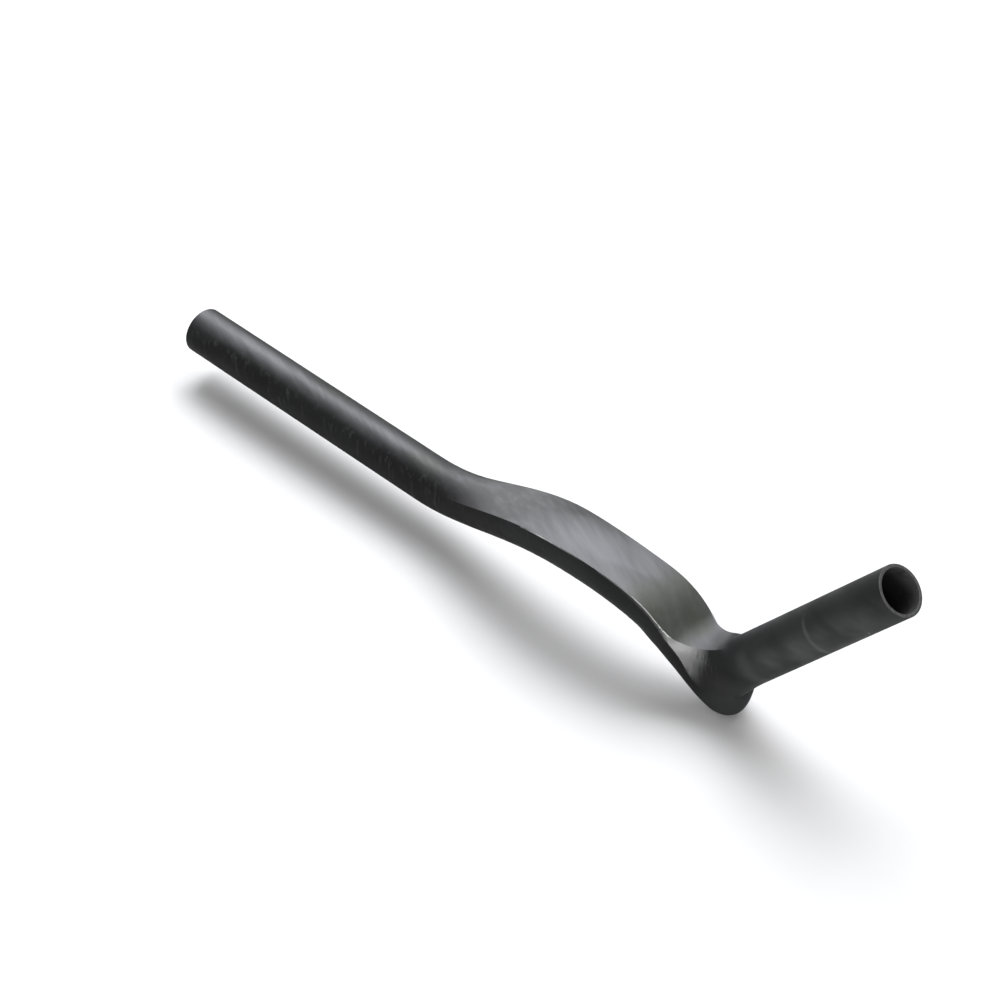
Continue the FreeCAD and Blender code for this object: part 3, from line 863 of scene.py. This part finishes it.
@dataclass
class Moulding:
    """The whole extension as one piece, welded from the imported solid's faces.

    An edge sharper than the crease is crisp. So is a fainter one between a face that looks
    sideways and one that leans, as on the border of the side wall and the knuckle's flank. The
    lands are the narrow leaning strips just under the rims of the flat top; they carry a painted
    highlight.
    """

    weld: float = 0.000004
    flat: float = 0.00001
    crease: float = math.radians(31)
    faint_crease: float = math.radians(16)
    leaning_aside: float = 0.87
    sideways_aside: float = 0.92
    edge_round: float = 0.00025
    edge_segments: int = 2
    land_width: float = 0.0007
    land_aside: float = 0.6
    land_up: float = 0.28
    land_reach: float = 0.00058
    # stretches of the rims that get the painted highlight
    glint: tuple[GlintStretch, ...] = (
        GlintStretch(start=0.218, full=0.228, fading=0.236, end=0.254, most=0.78),
        GlintStretch(start=0.262, full=0.292, fading=0.3, end=0.3015, most=1.0),
    )
    ends: tuple[RoundTube, ...] = field(default_factory=lambda: (CLAMP_TUBE, GRIP_TUBE))

    def build(self) -> bpy.types.Object:
        """Builds the piece: weld, sort the surfaces, soften the sawn edges, smooth the rest.

        Returns:
            The object, not dressed yet.
        """
        shape = bmesh.new()
        shape.from_mesh(frame["nodes"][NODE].data)
        shape.faces.layers.float.new(RIM_GLINT)
        bmesh.ops.remove_doubles(shape, verts=shape.verts, dist=self.weld)
        bmesh.ops.recalc_face_normals(shape, faces=shape.faces)
        self._sort(shape)
        for edge in shape.edges:
            edge.smooth = not self._is_crisp(edge)
        self._soften(shape)
        self._mark_glint_lands(shape)
        for face in shape.faces:
            face.smooth = True
        mesh = bpy.data.meshes.new(PIECE)
        shape.to_mesh(mesh)
        shape.free()
        piece = bpy.data.objects.new(PIECE, mesh)
        bpy.context.scene.collection.objects.link(piece)
        return piece

    def dress(self, piece: bpy.types.Object, effects: Effects) -> None:
        """Puts the three finishes on the piece's slots, in the order of the surfaces.

        Args:
            piece: The moulding.
            effects: The shared node groups.
        """
        for finish in (CarbonSkin(), BoreWall(), SawnEdge()):
            piece.data.materials.append(finish.build(effects))

    def _is_cut(self, face: bmesh.types.BMFace) -> bool:
        """Whether a face lies in one of the sawn ends.

        Args:
            face: The face.

        Returns:
            Whether it does.
        """
        return any(
            all(abs((vert.co - end.mouth).dot(end.outward)) < self.flat for vert in face.verts)
            for end in self.ends
        )

    def _sort(self, shape: bmesh.types.BMesh) -> None:
        """Gives each face the slot of its surface.

        The lowest face is on the skin, and the skin spreads from there as far as the sawn ends.
        What it doesn't reach is the bore.

        Args:
            shape: The moulding.
        """
        for face in shape.faces:
            face.material_index = (Surface.CUT if self._is_cut(face) else Surface.BORE).value
        queue = [min(shape.faces, key=lambda face: face.calc_center_median().z)]
        while queue:
            face = queue.pop()
            if face.material_index != Surface.BORE.value:
                continue
            face.material_index = Surface.SKIN.value
            queue.extend(other for edge in face.edges for other in edge.link_faces if other is not face)

    def _is_crisp(self, edge: bmesh.types.BMEdge) -> bool:
        """Whether an edge parts two surfaces, as the rims do and the border of side and flank.

        Args:
            edge: The edge.

        Returns:
            Whether its shading breaks.
        """
        angle = edge.calc_face_angle(0.0)
        aside = sorted(abs(face.normal.y) for face in edge.link_faces)
        parts_flank = aside[0] < self.leaning_aside and aside[-1] > self.sideways_aside
        return angle > self.crease or (edge.is_convex and angle > self.faint_crease and parts_flank)

    def _soften(self, shape: bmesh.types.BMesh) -> None:
        """Rounds the edges of the sawn ends a little.

        Args:
            shape: The moulding.
        """
        rims = []
        for edge in shape.edges:
            slots = {face.material_index for face in edge.link_faces}
            if len(slots) == 2 and Surface.CUT.value in slots:
                rims.append(edge)
        bmesh.ops.bevel(
            shape, geom=rims, offset=self.edge_round, offset_type="OFFSET", segments=self.edge_segments,
            profile=0.5, affect="EDGES", clamp_overlap=True, material=-1,
        )

    def _mark_glint_lands(self, shape: bmesh.types.BMesh) -> None:
        """Marks the lands beside the rims for a painted highlight, strongest near the knuckle.

        Args:
            shape: The moulding.
        """
        glint_layer = shape.faces.layers.float[RIM_GLINT]
        rims = [
            tuple(vert.co.copy() for vert in edge.verts)
            for edge in shape.edges
            if edge.is_convex and edge.calc_face_angle(0.0) > self.crease
            and any(stretch.start < vert.co.x < stretch.end for vert in edge.verts for stretch in self.glint)
        ]
        lands = 0
        for face in shape.faces:
            middle = face.calc_center_median()
            if self._is_land(face) and self._reach(rims, middle) < self.land_reach:
                face[glint_layer] = max(stretch.share(middle.x) for stretch in self.glint)
                lands += 1
        LOG.info("worn lands: %d faces", lands)

    def _is_land(self, face: bmesh.types.BMFace) -> bool:
        """Whether a face of the skin is narrow and leans as the lands do.

        Args:
            face: The face, a triangle.

        Returns:
            Whether it may be part of a land.
        """
        width = 2 * face.calc_area() / max(edge.calc_length() for edge in face.edges)
        leans = abs(face.normal.y) > self.land_aside and face.normal.z > self.land_up
        return face.material_index == Surface.SKIN.value and width < self.land_width and leans

    @staticmethod
    def _reach(rims: list[tuple[Vector, Vector]], place: Vector) -> float:
        """Distance of a place from the nearest of the rims' edges.

        Args:
            rims: The two ends of each edge.
            place: The place.

        Returns:
            The distance.
        """
        reach = math.inf
        for first, last in rims:
            share = (place - first).dot(last - first) / (last - first).length_squared
            nearest = first.lerp(last, min(1.0, max(0.0, share)))
            reach = min(reach, (place - nearest).length)
        return reach


@dataclass(frozen=True)
class Softbox:
    """A square soft lamp aimed at the part, or at a place off its centre.

    Azimuth and elevation are in degrees: azimuth counts from -Y towards +X, elevation from the
    floor up.
    """

    name: str
    azimuth: float
    elevation: float
    away: float
    size: float
    radiance: float
    tint: Triple = (1.0, 1.0, 1.0)
    aim: Triple = (0.0, 0.0, 0.0)

    def hang(self, centre: Vector) -> None:
        """Hangs the lamp.

        Args:
            centre: Middle of the part.
        """
        turn, rise = math.radians(self.azimuth), math.radians(self.elevation)
        towards = Vector((math.sin(turn) * math.cos(rise), -math.cos(turn) * math.cos(rise), math.sin(rise)))
        lamp = bpy.data.lights.new(self.name, "AREA")
        lamp.size = self.size
        lamp.energy = self.radiance * math.pi * self.size ** 2
        lamp.color = self.tint
        holder = bpy.data.objects.new(self.name, lamp)
        holder.location = centre + Vector(self.aim) + towards * self.away
        holder.rotation_euler = (-towards).to_track_quat("-Z", "Y").to_euler()
        holder.visible_camera = False
        bpy.context.scene.collection.objects.link(holder)


@dataclass
class Studio:
    """Pale floor, soft lamps and the camera, all aimed at the extension.

    The floor is seen in its own tone, lights the part from below in its bounce tone, and fades
    into the white background with the distance from the part.
    """

    floor_size: float = 6.0
    floor_segments: int = 96
    floor_gap: float = 0.0005
    floor_tone: Colour = grey(0.78)
    floor_bounce: Colour = grey(0.45)
    floor_grain: float = 3.0
    floor_roughness: Ramp = Ramp(0.3, 0.7, 0.75, 0.85)
    floor_specular: float = 0.1
    floor_fade: Ramp = Ramp(0.45, 1.2)
    world_tone: Colour = grey(1.0)
    world_light: Ramp = Ramp(0.0, 1.0, 0.35, 1.0)
    lamps: tuple[Softbox, ...] = (
        Softbox(
            "back_softbox", azimuth=-140.0, elevation=57.0, away=1.5, size=1.15, radiance=6.6,
            tint=(0.955, 0.965, 1.0),
        ),
        Softbox(
            "low_softbox", azimuth=-118.0, elevation=16.0, away=1.5, size=0.75, radiance=2.4,
            tint=(0.97, 0.98, 1.0),
        ),
        Softbox("far_softbox", azimuth=158.0, elevation=59.0, away=1.5, size=0.75, radiance=4.2),
        Softbox(
            "knuckle_card", azimuth=36.0, elevation=8.0, away=0.7, size=0.24, radiance=14.0,
            aim=(0.11, 0.0, -0.03),
        ),
    )
    camera_place: Vector = field(default_factory=lambda: Vector((0.7975, -0.6255, 0.7971)))
    camera_look: Vector = field(default_factory=lambda: Vector((-0.5154, 0.5351, -0.6694)))
    camera_roll: float = math.radians(0.28)
    camera_near: float = 0.05
    lens: float = 97.45
    sensor: float = 36.0

    def build(self, low: Vector, high: Vector) -> None:
        """Builds the studio round the part.

        Args:
            low: Lowest corner of the part's box.
            high: Highest corner of the part's box.
        """
        centre = (low + high) / 2
        floor = self._floor(low.z, centre)
        floor.data.materials.append(self._floor_paint(centre))
        floor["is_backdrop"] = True
        self._world()
        for lamp in self.lamps:
            lamp.hang(centre)
        self._camera()
        LOG.info("studio: floor, %d lamps and the camera", len(self.lamps))

    def _floor(self, height: float, centre: Vector) -> bpy.types.Object:
        """Lays a round floor just under the part's lowest point.

        Args:
            height: Height of that point.
            centre: Middle of the part.

        Returns:
            The floor, not painted yet.
        """
        shape = bmesh.new()
        bmesh.ops.create_circle(
            shape, cap_ends=True, segments=self.floor_segments, radius=self.floor_size / 2
        )
        place = (centre.x, centre.y, height - self.floor_gap)
        bmesh.ops.translate(shape, verts=shape.verts, vec=place)
        mesh = bpy.data.meshes.new("floor")
        shape.to_mesh(mesh)
        shape.free()
        floor = bpy.data.objects.new("floor", mesh)
        bpy.context.scene.collection.objects.link(floor)
        return floor

    def _floor_paint(self, centre: Vector) -> bpy.types.Material:
        """Makes the floor's paint.

        Args:
            centre: Middle of the part, from which the fading counts.

        Returns:
            The material.
        """
        material, nodes, shader = new_material("floor_paint")
        place = nodes.add("ShaderNodeTexCoord").outputs["Object"]
        noise = nodes.add("ShaderNodeTexNoise", {"Vector": place, "Scale": self.floor_grain}).outputs[0]
        ends = {0: place, 1: tuple(centre.xy.to_3d())}
        distance = nodes.add("ShaderNodeVectorMath", ends, operation="DISTANCE").outputs["Value"]
        faded = nodes.times(nodes.ramp(distance, self.floor_fade), self._seen(nodes))
        paint = nodes.blend(self._seen(nodes), self.floor_bounce, self.floor_tone)
        nodes.feed(shader["Base Color"], nodes.blend(faded, paint, grey(0.0)))
        nodes.feed(shader["Roughness"], nodes.ramp(noise, self.floor_roughness))
        nodes.feed(shader["Specular IOR Level"], self.floor_specular)
        nodes.feed(shader["Emission Color"], nodes.blend(faded, grey(0.0), self.world_tone))
        nodes.feed(shader["Emission Strength"], 1.0)
        return material

    def _world(self) -> None:
        """Lights the scene evenly, and shows white behind the floor's edge."""
        world = bpy.data.worlds.new("studio")
        bpy.context.scene.world = world
        world.use_nodes = True
        nodes = NodeTree(world.node_tree)
        background = world.node_tree.nodes["Background"].inputs
        nodes.feed(background["Color"], self.world_tone)
        nodes.feed(background["Strength"], nodes.ramp(self._seen(nodes), self.world_light))

    @staticmethod
    def _seen(nodes: NodeTree) -> Socket:
        """Whether a ray shows the background: straight, mirrored or through glass.

        Args:
            nodes: The tree of the material or the world.

        Returns:
            The mask.
        """
        path = nodes.add("ShaderNodeLightPath").outputs
        seen = nodes.math("ADD", path["Is Camera Ray"], path["Is Glossy Ray"])
        return nodes.math("ADD", seen, path["Is Transmission Ray"], clamp=True)

    def _camera(self) -> None:
        """Sets the camera at the photograph's viewing angle."""
        look = self.camera_look.normalized()
        level = look.cross(UPWARDS).normalized()
        up = level.cross(look)
        right = level * math.cos(self.camera_roll) + up * math.sin(self.camera_roll)
        turn = Matrix((right, right.cross(look), -look)).transposed().to_4x4()
        camera = bpy.data.cameras.new("camera")
        camera.lens = self.lens
        camera.sensor_width = self.sensor
        camera.clip_start = self.camera_near
        holder = bpy.data.objects.new("camera", camera)
        holder.matrix_world = Matrix.Translation(self.camera_place) @ turn
        bpy.context.scene.collection.objects.link(holder)
        bpy.context.scene.camera = holder


def main() -> None:
    """Builds the extension and its studio round the model's box, measured before the build."""
    logging.basicConfig(level=logging.INFO, format="%(message)s")
    bpy.context.scene.view_settings.view_transform = "Standard"
    cad_low, cad_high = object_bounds()
    effects = Effects()
    moulding = Moulding()
    piece = moulding.build()
    moulding.dress(piece, effects)
    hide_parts(NODE)
    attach(piece, "root")
    LOG.info("%s: %d faces, %d finishes", piece.name, len(piece.data.polygons), len(piece.data.materials))
    Studio().build(Vector(cad_low), Vector(cad_high))


if __name__ == "__main__":
    main()
